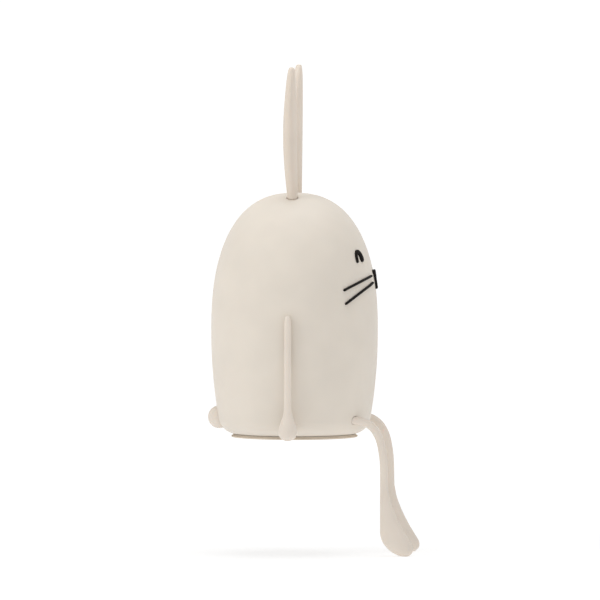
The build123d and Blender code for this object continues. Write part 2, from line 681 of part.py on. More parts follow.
def make_cylinder_pinion():
    gear = spur_gear(CYLINDER_PINION_TEETH, GREAT_T, 1.2, CYLINDER_BEARING + 180, False)
    return at_axis(CYLINDER_AXIS, GREAT_Z, gear)


def make_cylinder_drum():
    return at_axis(CYLINDER_AXIS, DRUM_Z, tube(0, 0, 0, DRUM_R, 1.2, DRUM_H))


def make_cylinder_pins():
    """Rows of pins, one row to a comb tooth, scattered round the drum in a repeating tune."""
    pins = []
    for row in range(COMB_TEETH):
        for note in range(3):
            angle = (row * 83 + note * 127 + 17) % 360
            z = DRUM_Z + comb_tooth_z(row)
            x, y = CYLINDER_AXIS
            pin = Pos(x, y, z) * Rot(0, 0, angle) * Pos(DRUM_R + PIN_STANDS / 2, 0, 0) * Rot(0, 90, 0)
            pins.append((pin * Cylinder(PIN_R, PIN_STANDS)) - rod(x, y, z - 1, DRUM_R, 2))
    return pins


def make_cylinder_wheel():
    gear = spur_gear(CYLINDER_WHEEL_TEETH, WHEEL_T, 1.2, MIDDLE_BEARING, True)
    wheel = crossed(gear, WHEEL_T, pitch_radius(CYLINDER_WHEEL_TEETH) - 1.6, 2.6, 5)
    return at_axis(CYLINDER_AXIS, CYLINDER_WHEEL_Z, wheel)


def make_middle_pinion():
    gear = spur_gear(MIDDLE_PINION_TEETH, WHEEL_T + 0.6, SMALL_ARBOR_R, MIDDLE_BEARING + 180, False)
    return at_axis(MIDDLE_AXIS, CYLINDER_WHEEL_Z - 0.3, gear)


def make_middle_wheel():
    gear = spur_gear(MIDDLE_WHEEL_TEETH, WHEEL_T - 0.2, SMALL_ARBOR_R, FLY_BEARING, True)
    wheel = crossed(gear, WHEEL_T, pitch_radius(MIDDLE_WHEEL_TEETH) - 1.5, 2.4, 5)
    return at_axis(MIDDLE_AXIS, MIDDLE_WHEEL_Z, wheel)


def make_fly_pinion():
    gear = spur_gear(FLY_PINION_TEETH, WHEEL_T + 0.4, SMALL_ARBOR_R, FLY_BEARING + 180, False)
    return at_axis(FLY_AXIS, FLY_PINION_Z, gear)


def make_fly_vanes():
    """Two flat vanes on a hub, which the air holds back."""
    vane = Pos(0, 0, 35) * Box(11.6, 0.5, 9)
    hub = rod(0, 0, 31, 1.9, 8)
    return at_axis(FLY_AXIS, 0, hub + vane - rod(0, 0, 25, SMALL_ARBOR_R, 20))


# ================================================================ movement: comb
def comb_tooth_z(row):
    return (row + 0.5) * DRUM_H / COMB_TEETH


def comb_tip_x():
    return CYLINDER_AXIS[0] - DRUM_R - PIN_STANDS - COMB_GAP


def make_comb():
    """A steel plate, cut into teeth that point at the drum's axis."""
    tip = comb_tip_x()
    back = tip - COMB_L
    y = CYLINDER_AXIS[1]
    plate = Pos((tip + back) / 2, y, DRUM_Z + DRUM_H / 2) * Box(COMB_L, COMB_T, DRUM_H)
    pitch = DRUM_H / COMB_TEETH
    for gap in range(1, COMB_TEETH):
        slot_l = COMB_L * (0.62 - 0.012 * gap)
        plate -= Pos(tip - slot_l / 2, y, DRUM_Z + gap * pitch) * Box(slot_l + 0.1, 2 * COMB_T, COMB_SLOT)
    for z in COMB_SCREW_Z:
        plate -= lying_rod("Y", y - 2, y + 2, back + COMB_SCREW_IN, z, PLATE_SCREW_R + 0.05)
    return plate


def make_comb_bracket():
    """An angle: an upright that carries the comb, on a foot screwed to the bottom plate."""
    back = comb_tip_x() - COMB_L
    y = CYLINDER_AXIS[1] - COMB_T / 2
    foot_z = BOTTOM_PLATE_Z + BOTTOM_PLATE_T
    top = DRUM_Z + DRUM_H
    upright = Pos(back + 2.4, y - 1, (foot_z + top) / 2) * Box(4.8, 2, top - foot_z)
    foot = Pos(back + 2.4, y - 2.5, foot_z + 0.75) * Box(4.8, 5, 1.5)
    bracket = upright + foot
    for z in COMB_SCREW_Z:
        bracket -= lying_rod("Y", y - 3, y + 1, back + COMB_SCREW_IN, z, PLATE_SCREW_R)
    for x, screw_y in COMB_SCREWS:
        bracket -= rod(x, screw_y, foot_z - 1, PLATE_SCREW_R, 4)
    return bracket


def make_comb_screws():
    y = CYLINDER_AXIS[1] + COMB_T / 2
    x = comb_tip_x() - COMB_L + COMB_SCREW_IN
    screws = []
    for z in COMB_SCREW_Z:
        screw = cheese_screw(0, 0, 0, 1.3, 0.8, PLATE_SCREW_R - 0.05, 2.6)
        screws.append(Pos(x, y, z) * Rot(-90, 0, 0) * screw)
    for screw_x, screw_y in COMB_SCREWS:
        top = BOTTOM_PLATE_Z + BOTTOM_PLATE_T + 1.5
        screws.append(cheese_screw(screw_x, screw_y, top, 1.4, 0.8, PLATE_SCREW_R, 2.8))
    return screws


# ================================================================ all nodes
def make_nodes():
    nodes = {
        "body_shell": make_body_shell(),
        "base_plate": make_base_plate(),
        "foot_ring": make_foot_ring(),
        "base_screws": make_base_screws(),
        "ear_grommets": make_ear_grommets(),
        "shoulder_bushes": make_shoulder_bushes(),
        "hip_bushes": make_hip_bushes(),
        "tail": make_tail(),
        "nose": make_nose(),
        "bottom_plate": make_bottom_plate(),
        "top_plate": make_top_plate(),
        "pillars": make_pillars(),
        "plate_screws": make_plate_screws(),
        "movement_screws": make_movement_screws(),
        "winding_key": make_winding_key(),
        "winding_arbor": make_winding_arbor(),
        "ratchet_wheel": make_ratchet_wheel(),
        "ratchet_collar": make_ratchet_collar(),
        "click": make_click(),
        "click_screw": make_click_screw(),
        "click_spring": make_click_spring(),
        "click_spring_screw": make_click_spring_screw(),
        "great_wheel": make_great_wheel(),
        "spring_barrel": make_barrel(),
        "barrel_cap": make_barrel_cap(),
        "mainspring": make_mainspring(),
        "cylinder_arbor": arbor_with_pivots(CYLINDER_AXIS, 1.2),
        "cylinder_pinion": make_cylinder_pinion(),
        "cylinder_drum": make_cylinder_drum(),
        "cylinder_pins": make_cylinder_pins(),
        "cylinder_wheel": make_cylinder_wheel(),
        "middle_arbor": arbor_with_pivots(MIDDLE_AXIS, SMALL_ARBOR_R),
        "middle_pinion": make_middle_pinion(),
        "middle_wheel": make_middle_wheel(),
        "fly_arbor": arbor_with_pivots(FLY_AXIS, SMALL_ARBOR_R),
        "fly_pinion": make_fly_pinion(),
        "fly_vanes": make_fly_vanes(),
        "comb": make_comb(),
        "comb_bracket": make_comb_bracket(),
        "comb_screws": make_comb_screws(),
    }
    for name, side in (("left", 1), ("right", -1)):
        nodes[name + "_ear"] = make_ear(side)
        nodes[name + "_ear_clip"] = make_ear_clip(side)
        nodes[name + "_arm"] = make_arm(side)
        nodes[name + "_arm_clip"] = make_arm_clip(side)
        nodes[name + "_leg"] = make_leg(side)
        nodes[name + "_leg_clip"] = make_leg_clip(side)
        nodes[name + "_eye"] = make_eye(side)
        nodes[name + "_whiskers"] = make_whiskers(side)
    return nodes


os.makedirs("parts", exist_ok=True)
for node, shape in make_nodes().items():
    if isinstance(shape, list):
        shape = Compound(children=shape)
    export_step(shape, "parts/" + node + ".step")
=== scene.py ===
import json
import math

import bpy
from mathutils import Matrix, Vector


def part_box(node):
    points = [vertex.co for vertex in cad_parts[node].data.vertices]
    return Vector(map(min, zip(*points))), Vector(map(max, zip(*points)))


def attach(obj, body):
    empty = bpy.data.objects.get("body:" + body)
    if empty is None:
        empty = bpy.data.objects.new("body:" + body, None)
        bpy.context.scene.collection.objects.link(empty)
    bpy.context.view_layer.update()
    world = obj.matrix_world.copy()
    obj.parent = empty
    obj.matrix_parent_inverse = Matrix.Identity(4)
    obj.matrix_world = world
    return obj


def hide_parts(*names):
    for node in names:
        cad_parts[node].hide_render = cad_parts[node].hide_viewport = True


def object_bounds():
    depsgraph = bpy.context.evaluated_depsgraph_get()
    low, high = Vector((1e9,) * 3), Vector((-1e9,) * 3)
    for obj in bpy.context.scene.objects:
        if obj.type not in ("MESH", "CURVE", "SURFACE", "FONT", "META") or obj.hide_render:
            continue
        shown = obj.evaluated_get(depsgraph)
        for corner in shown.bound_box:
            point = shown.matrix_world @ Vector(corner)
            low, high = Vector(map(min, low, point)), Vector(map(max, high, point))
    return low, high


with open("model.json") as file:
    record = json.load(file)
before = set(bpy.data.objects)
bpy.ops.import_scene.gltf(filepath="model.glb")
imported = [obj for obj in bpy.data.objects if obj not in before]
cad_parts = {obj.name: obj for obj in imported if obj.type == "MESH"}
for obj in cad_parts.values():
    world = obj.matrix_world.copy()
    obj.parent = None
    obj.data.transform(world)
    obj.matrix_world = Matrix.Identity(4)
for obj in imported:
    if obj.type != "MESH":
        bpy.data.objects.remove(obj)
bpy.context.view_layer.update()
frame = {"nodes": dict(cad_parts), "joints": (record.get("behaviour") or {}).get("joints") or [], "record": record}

MM = 0.001
TURN = 2 * math.pi

# ---------------------------------------------------------------- sizes, in metres, from the frame
SHELL_LOW, SHELL_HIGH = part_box("body_shell")
BODY_R = (SHELL_HIGH.y - SHELL_LOW.y) / 2
HEM_Z = SHELL_LOW.z
CROWN_Z = 134.2 * MM
WAIST_Z = 58.0 * MM
CROWN_POWER = 2.42
FLANK_R = 281.0 * MM
HEM_R = 10.0 * MM
WALL = 2.5 * MM
MOUTH_R = 33.3 * MM
HIP_HOLE_R = 2.38 * MM
HIP_HOLE_LIFT = 0.07 * MM
SLIT = 0.05 * MM

JOINTS = {joint["name"]: joint for joint in frame["joints"]}
SIDES = (("left", 1), ("right", -1))
AHEAD, LEFT, UP = Vector((1, 0, 0)), Vector((0, 1, 0)), Vector((0, 0, 1))


# ================================================================ meshes
def add_mesh(name, vertices, faces, finish, body, stands_for=(), crease=40):
    """A smooth-shaded mesh that rides on a CAD body. Edges sharper than crease degrees stay crisp."""
    mesh = bpy.data.meshes.new(name)
    mesh.from_pydata([tuple(v) for v in vertices], [], faces)
    mesh.validate()
    piece = bpy.data.objects.new(name, mesh)
    bpy.context.scene.collection.objects.link(piece)
    return dress(piece, finish, body, stands_for, crease)


def dress(piece, finish, body, stands_for, crease):
    mesh = piece.data
    mesh.materials.clear()
    mesh.materials.append(finish)
    mesh.shade_smooth()
    mesh.set_sharp_from_angle(angle=math.radians(crease))
    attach(piece, body)
    if stands_for:
        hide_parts(*stands_for)
    return piece


def skin(rings):
    """Vertices and faces of a closed tube over rings of points, each end drawn together on its middle."""
    count = len(rings[0])
    vertices = [point for ring in rings for point in ring]
    faces = []
    for row in range(len(rings) - 1):
        for i in range(count):
            low = row * count
            nxt = (i + 1) % count
            faces.append((low + i, low + nxt, low + count + nxt, low + count + i))
    for row, order in ((0, -1), (len(rings) - 1, 1)):
        ring = rings[row]
        vertices.append(sum((Vector(p) for p in ring), Vector()) / count)
        middle = len(vertices) - 1
        for i in range(count)[::order]:
            faces.append((row * count + i, row * count + (i + order) % count, middle))
    return vertices, faces


def circle(centre, across, up, half_across, half_up, count=48):
    """A ring of points on an ellipse, with its half-axes along two directions."""
    turns = [TURN * i / count for i in range(count)]
    return [centre + across * half_across * math.cos(t) + up * half_up * math.sin(t) for t in turns]


def turned(outline, count=96):
    """A ring for each (radius, height) of an outline, turned about the vertical axis."""
    return [circle(Vector((0, 0, z)), AHEAD, LEFT, r, r, count) for r, z in outline]


def moved(vertices, matrix):
    return [matrix @ Vector(v) for v in vertices]


def boolean(piece, others, operation):
    """Cuts other meshes out of a piece, or joins them to it, for good."""
    for other in others:
        change = piece.modifiers.new("change", "BOOLEAN")
        change.operation = operation
        change.solver = "EXACT"
        change.object = other
    graph = bpy.context.evaluated_depsgraph_get()
    made = bpy.data.meshes.new_from_object(piece.evaluated_get(graph))
    piece.modifiers.clear()
    old = piece.data
    name = old.name
    piece.data = made
    bpy.data.meshes.remove(old)
    made.name = name
    for other in others:
        bpy.data.objects.remove(other)


def tool(vertices, faces):
    """A mesh that is only used in a boolean."""
    mesh = bpy.data.meshes.new("tool")
    mesh.from_pydata([tuple(v) for v in vertices], [], faces)
    piece = bpy.data.objects.new("tool", mesh)
    bpy.context.scene.collection.objects.link(piece)
    return piece


def rod(start, end, radius, count=48):
    """Vertices and faces of a plain cylinder between two points."""
    along = (end - start).normalized()
    across = along.orthogonal().normalized()
    up = along.cross(across)
    return skin([circle(point, across, up, radius, radius, count) for point in (start, end)])


def curve_through(stations, steps):
    """A smooth run of number rows through a few rows, by Catmull-Rom."""
    rows = []
    last = len(stations) - 1
    for i in range(last):
        before, a, b, after = (stations[max(0, min(last, i + k))] for k in (-1, 0, 1, 2))
        for step in range(steps):
            t = step / steps
            row = []
            for p, q, r, s in zip(before, a, b, after):
                bend = (2 * p - 5 * q + 4 * r - s) * t * t + (3 * q - p - 3 * r + s) * t**3
                row.append(q + 0.5 * ((r - p) * t + bend))
            rows.append(row)
    rows.append(list(stations[-1]))
    return rows


# ================================================================ the body's surface
def crown_point(angle, inset=0.0):
    """(radius, height) on the crown, moved inwards along the normal. The angle is 0 at the waist."""
    rise = CROWN_Z - WAIST_Z
    x = max(math.cos(angle), 0.0) ** (2 / CROWN_POWER)
    z = max(math.sin(angle), 0.0) ** (2 / CROWN_POWER)
    normal = Vector((x ** (CROWN_POWER - 1) / BODY_R, z ** (CROWN_POWER - 1) / rise)).normalized()
    return BODY_R * x - inset * normal.x, WAIST_Z + rise * z - inset * normal.y


def hem_centre():
    z = HEM_Z + HEM_R
    x = BODY_R - FLANK_R + math.sqrt((FLANK_R - HEM_R) ** 2 - (WAIST_Z - z) ** 2)
    return x, z


def body_outline(inset, crown_steps=80, flank_steps=28, hem_steps=24):
    """(radius, height) from the crown down to the mouth in the underside."""
    hem_x, hem_z = hem_centre()
    flank_x = BODY_R - FLANK_R
    hem_end = math.atan2(hem_z - WAIST_Z, hem_x - flank_x)
    outline = [crown_point(math.pi / 2 * (1 - i / crown_steps), inset) for i in range(1, crown_steps)]
    flank_r = FLANK_R - inset
    for i in range(flank_steps + 1):
        angle = hem_end * i / flank_steps
        outline.append((flank_x + flank_r * math.cos(angle), WAIST_Z + flank_r * math.sin(angle)))
    radius = HEM_R - inset
    last = -math.acos((MOUTH_R - hem_x) / radius)
    for i in range(1, hem_steps + 1):
        angle = hem_end + (last - hem_end) * i / hem_steps
        outline.append((hem_x + radius * math.cos(angle), hem_z + radius * math.sin(angle)))
    return outline


def crown_angle(z):
    """The outline's angle at a height above the waist."""
    share = max(0.0, (z - WAIST_Z) / (CROWN_Z - WAIST_Z))
    return math.asin(min(1.0, share ** (CROWN_POWER / 2)))


def on_body(bearing, z):
    """A point on the crown's surface and the normal there. The bearing is in radians from +X."""
    angle = crown_angle(z)
    r, height = crown_point(angle)
    inner_r, inner_height = crown_point(angle, MM)
    out = Vector(((r - inner_r) / MM, (height - inner_height) / MM))
    ahead = Vector((math.cos(bearing), math.sin(bearing), 0))
    return ahead * r + Vector((0, 0, height)), ahead * out.x + Vector((0, 0, out.y))


# ================================================================ finishes
def shader(name, colour, roughness):
    """A material with a Principled shader, and its node helpers."""
    finish = bpy.data.materials.new(name)
    finish.use_nodes = True
    tree = finish.node_tree
    plain = tree.nodes["Principled BSDF"]
    plain.inputs["Base Color"].default_value = (*colour, 1)
    plain.inputs["Roughness"].default_value = roughness
    return finish, tree, plain


def noise(tree, scale, detail=3.0, stretch=(1, 1, 1)):
    """A noise pattern fixed to the piece, whose features are 1/scale metres across."""
    where = tree.nodes.new("ShaderNodeTexCoord")
    spread = tree.nodes.new("ShaderNodeMapping")
    spread.inputs["Scale"].default_value = stretch
    pattern = tree.nodes.new("ShaderNodeTexNoise")
    pattern.inputs["Scale"].default_value = scale
    pattern.inputs["Detail"].default_value = detail
    tree.links.new(where.outputs["Object"], spread.inputs["Vector"])
    tree.links.new(spread.outputs["Vector"], pattern.inputs["Vector"])
    return pattern.outputs["Fac"]


def between(tree, pattern, low, high, start=0.3, end=0.7):
    """Maps a pattern to a range of numbers."""
    to_range = tree.nodes.new("ShaderNodeMapRange")
    to_range.inputs["From Min"].default_value = start
    to_range.inputs["From Max"].default_value = end
    to_range.inputs["To Min"].default_value = low
    to_range.inputs["To Max"].default_value = high
    tree.links.new(pattern, to_range.inputs["Value"])
    return to_range.outputs["Result"]


def tinted(tree, pattern, first, second, start=0.35, end=0.65):
    """A colour that wanders between two along a pattern."""
    ramp = tree.nodes.new("ShaderNodeValToRGB")
    ramp.color_ramp.elements[0].position = start
    ramp.color_ramp.elements[1].position = end
    ramp.color_ramp.elements[0].color = (*first, 1)
    ramp.color_ramp.elements[1].color = (*second, 1)
    tree.links.new(pattern, ramp.inputs["Fac"])
    return ramp.outputs["Color"]


def bumps(tree, plain, layers):
    """Stacks bump layers, each (pattern, depth in metres, strength)."""
    normal = None
    for pattern, depth, strength in layers:
        bump = tree.nodes.new("ShaderNodeBump")
        bump.inputs["Distance"].default_value = depth
        bump.inputs["Strength"].default_value = strength
        tree.links.new(pattern, bump.inputs["Height"])
        if normal is not None:
            tree.links.new(normal, bump.inputs["Normal"])
        normal = bump.outputs["Normal"]
    tree.links.new(normal, plain.inputs["Normal"])


def shade(colour, share):
    return tuple(min(1.0, c * share) for c in colour)


# How close together the features of each pattern are, per metre.
CLOUD, RIPPLE, SHEEN, GRAIN = 45, 320, 260, 2600
STAIN, BRUSHING = 180, 2200
SOFT_RADIUS = (1.0, 0.75, 0.55)     # how much further red travels inside the plastic than blue
SOFT_DEPTH = 1.6 * MM


def moulded(name, colour, roughness, wander=0.02, grain=0.012 * MM, soft=0.0, specular=0.4):
    """Moulded plastic or rubber: a faint cloudiness, a fine grain, and some give to light if it is soft."""
    finish, tree, plain = shader(name, colour, roughness)
    cloud = noise(tree, CLOUD, 2.0)
    tint = tinted(tree, cloud, shade(colour, 1 - wander), shade(colour, 1 + wander))
    tree.links.new(tint, plain.inputs["Base Color"])
    sheen = noise(tree, SHEEN, 3.0)
    tree.links.new(between(tree, sheen, roughness - 0.05, roughness + 0.05), plain.inputs["Roughness"])
    plain.inputs["Specular IOR Level"].default_value = specular
    if soft:
        plain.inputs["Subsurface Weight"].default_value = soft
        plain.inputs["Subsurface Radius"].default_value = SOFT_RADIUS
        plain.inputs["Subsurface Scale"].default_value = SOFT_DEPTH
    fine = (noise(tree, GRAIN, 4.0), grain, 0.6)
    coarse = (noise(tree, RIPPLE, 2.0), 0.03 * MM, 0.25)
    bumps(tree, plain, [fine, coarse])
    return finish


def metal(name, colour, roughness, stretch, tarnish=0.12):
    """Brushed metal: a fine directional grain, wandering gloss and a little tarnish."""
    finish, tree, plain = shader(name, colour, roughness)
    plain.inputs["Metallic"].default_value = 1.0
    stain = noise(tree, STAIN, 4.0)
    tint = tinted(tree, stain, shade(colour, 1 - tarnish), colour, 0.3, 0.6)
    tree.links.new(tint, plain.inputs["Base Color"])
    brushed = noise(tree, BRUSHING, 3.0, stretch)
    tree.links.new(between(tree, brushed, roughness - 0.08, roughness + 0.12), plain.inputs["Roughness"])
    bumps(tree, plain, [(brushed, 0.006 * MM, 0.5), (stain, 0.02 * MM, 0.15)])
    return finish


CREAM = (0.732, 0.668, 0.586)
SHELL = moulded("shell_plastic", CREAM, 0.52, soft=0.08)
LIMB = moulded("limb_rubber", (0.748, 0.672, 0.590), 0.58, soft=0.12, specular=0.3)
# The ears are the same rubber as the arms and legs. This darker copy of it is painted shade, standing for the
# shade that falls on the ears.
EAR_PAINTED_SHADE = moulded("ear_rubber_painted_shade", (0.690, 0.606, 0.520), 0.58, soft=0.12, specular=0.3)
BASE = moulded("base_plastic", (0.560, 0.520, 0.470), 0.60, grain=0.03 * MM)
RING_TAN = (0.680, 0.590, 0.485)
RING = moulded("ring_rubber", RING_TAN, 0.70, wander=0.06, grain=0.03 * MM, specular=0.25)
BLACK = (0.0065, 0.0042, 0.0030)
FACE = moulded("face_rubber", BLACK, 0.55, wander=0.15, grain=0.01 * MM, specular=0.14)
NYLON = moulded("nylon", (0.700, 0.680, 0.620), 0.45, soft=0.15)
GROMMET = moulded("grommet_rubber", (0.020, 0.020, 0.020), 0.62, wander=0.2, grain=0.03 * MM)
STEEL = metal("steel", (0.560, 0.560, 0.550), 0.30, (1, 1, 0.06), 0.10)
BRASS = metal("brass", (0.720, 0.480, 0.180), 0.28, (1, 0.06, 1), 0.22)
VANE = metal("vane_aluminium", (0.780, 0.790, 0.800), 0.36, (0.08, 1, 1), 0.06)
FINISHES = {
    "shell": SHELL,
    "limb": LIMB,
    "base": BASE,
    "ring": RING,
    "face": FACE,
    "nylon": NYLON,
    "grommet": GROMMET,
    "steel": STEEL,
    "brass": BRASS,
    "vane": VANE,
}


# ================================================================ shell
def ear_place(side_name):
    """The matrix that stands an ear on its stem's joint, with Z along the ear and X ahead."""
    joint = JOINTS[side_name + "_ear_swivel"]
    along = Vector(joint["axis"]).normalized()
    turn = Matrix((AHEAD, along.cross(AHEAD), along)).transposed().to_4x4()
    return Matrix.Translation(Vector(joint["pos_m"])) @ turn


EAR_SEAT_R = 3.35 * MM
EAR_SEAT_GAP = 0.48 * MM
EAR_STEM_R = 2.0 * MM
ARM_PIN_R = 1.4 * MM
LIP_INSET = 0.15 * MM     # between the mouth's plain edge and the two faces of the wall
# The holes' cutting rods, as distances from the joint along its axis.
HIP_CUT = (-5 * MM, 16 * MM)
SHOULDER_CUT = 12 * MM
EAR_STEM_CUT = (-12 * MM, MM)
EAR_SEAT_TOP = 5 * MM


def make_shell():
    outer = body_outline(0)
    inner = body_outline(WALL)
    lip = [(MOUTH_R, outer[-1][1] + LIP_INSET), (MOUTH_R, inner[-1][1] - LIP_INSET)]
    vertices, faces = skin(turned(outer + lip + inner[::-1], 200))
    shell = add_mesh("shell_body", vertices, faces, SHELL, "shell", ["body_shell"], 30)
    cutters = []
    for name, side in SIDES:
        hip = Vector(JOINTS[name + "_leg_swing"]["pos_m"])
        hole = hip + Vector((0, 0, HIP_HOLE_LIFT))
        hip_ends = [hole + Vector((x, 0, 0)) for x in HIP_CUT]
        cutters.append(tool(*rod(*hip_ends, HIP_HOLE_R)))
        shoulder = Vector(JOINTS[name + "_arm_swing"]["pos_m"])
        inside = shoulder - Vector((0, side * SHOULDER_CUT, 0))
        cutters.append(tool(*rod(shoulder, inside, ARM_PIN_R + SLIT)))
        place = ear_place(name)
        stem = rod(*[Vector((0, 0, z)) for z in EAR_STEM_CUT], EAR_STEM_R + SLIT)
        cutters.append(tool(moved(stem[0], place), stem[1]))
        seat = rod(Vector((0, 0, -EAR_SEAT_GAP)), Vector((0, 0, EAR_SEAT_TOP)), EAR_SEAT_R, 64)
        cutters.append(tool(moved(seat[0], place), seat[1]))
    boolean(shell, cutters, "DIFFERENCE")
    dress(shell, SHELL, "shell", [], 30)


# ================================================================ ears
EAR_L = 74.0 * MM
EAR_END = 0.979           # where the rounded tip takes over from the leaf
EAR_ROWS = 90
EAR_SIDES = 64
EAR_ROUNDING = 0.3 * MM   # of the leaf's lower edge
EAR_DROP = 0.4 * MM       # how far the leaf's foot reaches below the joint, into its seat
EAR_FOOT_W = 6.0          # the widths and depths of the leaf are in millimetres
EAR_SWELL = 9.5           # how much wider than its foot the leaf gets
EAR_SWELL_TURN = 0.86     # the share of half a turn that the swelling follows along the leaf
EAR_FRONT_X = 2.85        # the leaf's front face, ahead of its stem
EAR_TIP_H = 0.38 * MM
EAR_TIP_ROWS = 8
EAR_TIP_TURN = 8.5        # a little over the number of rows, so that the last one keeps some size
# Rings of the stem below the leaf: radius and height, in millimetres. The clip sits in the groove.
EAR_STEM = ((1.5, -9.5), (2.0, -9.0), (2.0, -8.6), (1.5, -8.6), (1.5, -7.7), (2.0, -7.7), (2.0, -0.4))


def ear_section(along):
    """(half depth, half width, middle) of the ear's leaf at a share of its length."""
    foot = max(0.0, EAR_ROUNDING - along * EAR_L)
    shrink = EAR_ROUNDING - math.sqrt(EAR_ROUNDING**2 - foot**2)
    full_width = EAR_FOOT_W + EAR_SWELL * math.sin(EAR_SWELL_TURN * math.pi * along)
    half_width = full_width / 2 * MM * math.sqrt(1 - along**8)
    half_depth = (2.8 - 0.8 * along + 1.35 * math.sin(math.pi * along)) * MM
    middle = (EAR_FRONT_X - 0.4 * along**4) * MM - half_depth
    return half_depth * math.sqrt(1 - along**30) - shrink, half_width - shrink, middle


def make_ear(name):
    """A stem and a leaf, each ring level in the ear's own frame."""
    rings = []
    for radius, z in EAR_STEM:
        rings.append(circle(Vector((0, 0, z * MM)), AHEAD, LEFT, radius * MM, radius * MM, EAR_SIDES))
    for row in range(EAR_ROWS + 1):
        along = EAR_END * math.sin(math.pi / 2 * row / EAR_ROWS) ** 1.3
        depth, width, middle = ear_section(along)
        place = Vector((middle, 0, along * EAR_L - EAR_DROP * (1 - along)))
        rings.append(circle(place, AHEAD, LEFT, depth, width, EAR_SIDES))
    top = EAR_END * EAR_L - EAR_DROP * (1 - EAR_END)
    for step in range(1, EAR_TIP_ROWS + 1):
        angle = math.pi / 2 * step / EAR_TIP_TURN
        place = Vector((middle, 0, top + EAR_TIP_H * math.sin(angle)))
        shrunk = math.cos(angle)
        rings.append(circle(place, AHEAD, LEFT, depth * shrunk, width * shrunk, EAR_SIDES))
    vertices, faces = skin(rings)
    node = name + "_ear"
    vertices = moved(vertices, ear_place(name))
    add_mesh(node + "_leaf", vertices, faces, EAR_PAINTED_SHADE, node, [node], 50)


# ================================================================ arms
ARM_PIN_END = 39.3        # the pin's inner end, from the middle plane, in millimetres
POINT_R = 0.02            # radius of an outline where it closes on its axis
# Radius and height of the bar and the teardrop hand, in millimetres.
ARM_OUTLINE = (
    (1.75, 65.7),
    (1.95, 60.7),
    (2.0, 52.0),
    (2.0, 34.0),
    (2.0, 22.2),
    (2.1, 17.7),
    (2.75, 14.0),
    (3.9, 10.5),
    (4.85, 7.6),
    (5.2, 5.5),
    (4.95, 3.6),
    (4.1, 1.9),
    (2.6, 0.85),
)


def make_arm(name, side):
    shoulder = Vector(JOINTS[name + "_arm_swing"]["pos_m"])
    low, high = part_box(name + "_arm")
    top, foot = high.z / MM, low.z / MM
    upper_end = [(POINT_R, top), (0.9, top - 0.35), (1.45, top - 1.3)]
    stations = [*upper_end, *ARM_OUTLINE, (0.9, foot + 0.05), (POINT_R, foot)]
    outline = [(max(POINT_R / 2, r) * MM, z * MM) for r, z in curve_through(stations, 6)]
    vertices, faces = skin(turned(outline[::-1], 64))
    vertices = moved(vertices, Matrix.Translation((shoulder.x, shoulder.y, 0)))
    node = name + "_arm"
    arm = add_mesh(node + "_bar", vertices, faces, LIMB, node, [node], 50)
    pin_end = Vector((shoulder.x, side * ARM_PIN_END * MM, shoulder.z))
    boolean(arm, [tool(*rod(shoulder, pin_end, ARM_PIN_R))], "UNION")
    dress(arm, LIMB, node, [], 50)


# ================================================================ legs
LEG_R = 2.15 * MM
# The middle of the leg below the peg: x and z, in millimetres.
LEG_BEND = (
    (36.0, 10.3),
    (40.8, 9.2),
    (45.2, 5.9),
    (47.9, 1.6),
    (49.3, -2.5),
    (50.3, -7.7),
    (50.9, -13.0),
    (51.12, -20.0),
)
# Rows across the foot, from the shin down to the sole: back x, back z, front x, front z, half width.
FOOT = (
    (48.98, -27.5, 53.38, -27.5, 2.20),
    (48.90, -34.8, 54.90, -34.7, 2.60),
    (48.90, -41.5, 58.00, -42.6, 3.30),
    (48.90, -47.5, 61.40, -49.2, 4.00),
    (49.00, -52.3, 64.60, -54.6, 4.50),
    (50.20, -56.3, 66.75, -58.2, 4.65),
    (52.60, -59.6, 67.20, -60.6, 4.35),
    (55.80, -62.2, 66.50, -62.6, 3.55),
    (59.00, -63.8, 64.90, -64.0, 2.10),
    (61.10, -64.3, 63.60, -64.35, 0.80),
)
# The peg in the hip: distance from its end and radius, in millimetres. The clip sits in the groove.
HIP_PEG = (
    (0, 1.65),
    (0.5, 2.15),
    (0.55, 2.15),
    (0.55, 1.55),
    (1.35, 1.55),
    (1.35, 2.15),
    (5.0, 2.15),
)


def make_leg(name):
    hip = Vector(JOINTS[name + "_leg_swing"]["pos_m"])
    peg_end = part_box(name + "_leg")[0].x
    rings = []
    for step, radius in HIP_PEG:
        centre = Vector((peg_end + step * MM, hip.y, hip.z))
        rings.append(circle(centre, LEFT, UP, radius * MM, radius * MM))
    line = [Vector((x * MM, hip.y, z * MM)) for x, z in curve_through(LEG_BEND, 6)]
    for i, point in enumerate(line):
        along = (line[min(i + 1, len(line) - 1)] - line[max(i - 1, 0)]).normalized()
        rings.append(circle(point, LEFT, along.cross(LEFT), LEG_R, LEG_R))
    for back_x, back_z, front_x, front_z, half_width in curve_through(FOOT, 8):
        back = Vector((back_x * MM, hip.y, back_z * MM))
        front = Vector((front_x * MM, hip.y, front_z * MM))
        half = (front - back) / 2
        rings.append(circle(back + half, LEFT, half.normalized(), half_width * MM, half.length))
    vertices, faces = skin(rings)
    node = name + "_leg"
    add_mesh(node + "_bar", vertices, faces, LIMB, node, [node], 50)


# ================================================================ tail
TAIL_Z = 10.7 * MM
TAIL_ROWS = 48


def make_tail():
    low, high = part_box("tail")
    radius = (high.y - low.y) / 2
    centre = Vector((low.x + radius, 0, TAIL_Z))
    rings = []
    for row in range(1, TAIL_ROWS):
        angle = math.pi * row / TAIL_ROWS
        ring_r = radius * math.sin(angle)
        at = centre + Vector((0, 0, -radius * math.cos(angle)))
        rings.append(circle(at, AHEAD, LEFT, ring_r, ring_r, 96))
    vertices, faces = skin(rings)
    tail = add_mesh("tail_ball", vertices, faces, LIMB, "shell", ["tail"], 40)
    boolean(tail, [tool(*skin(turned(body_outline(0)[:-1], 200)))], "DIFFERENCE")
    dress(tail, LIMB, "shell", [], 40)


# ================================================================ face
SINK = 0.3 * MM           # how deep the face pieces reach into the shell, so that no gap shows
RIDGE_SIDES = 24


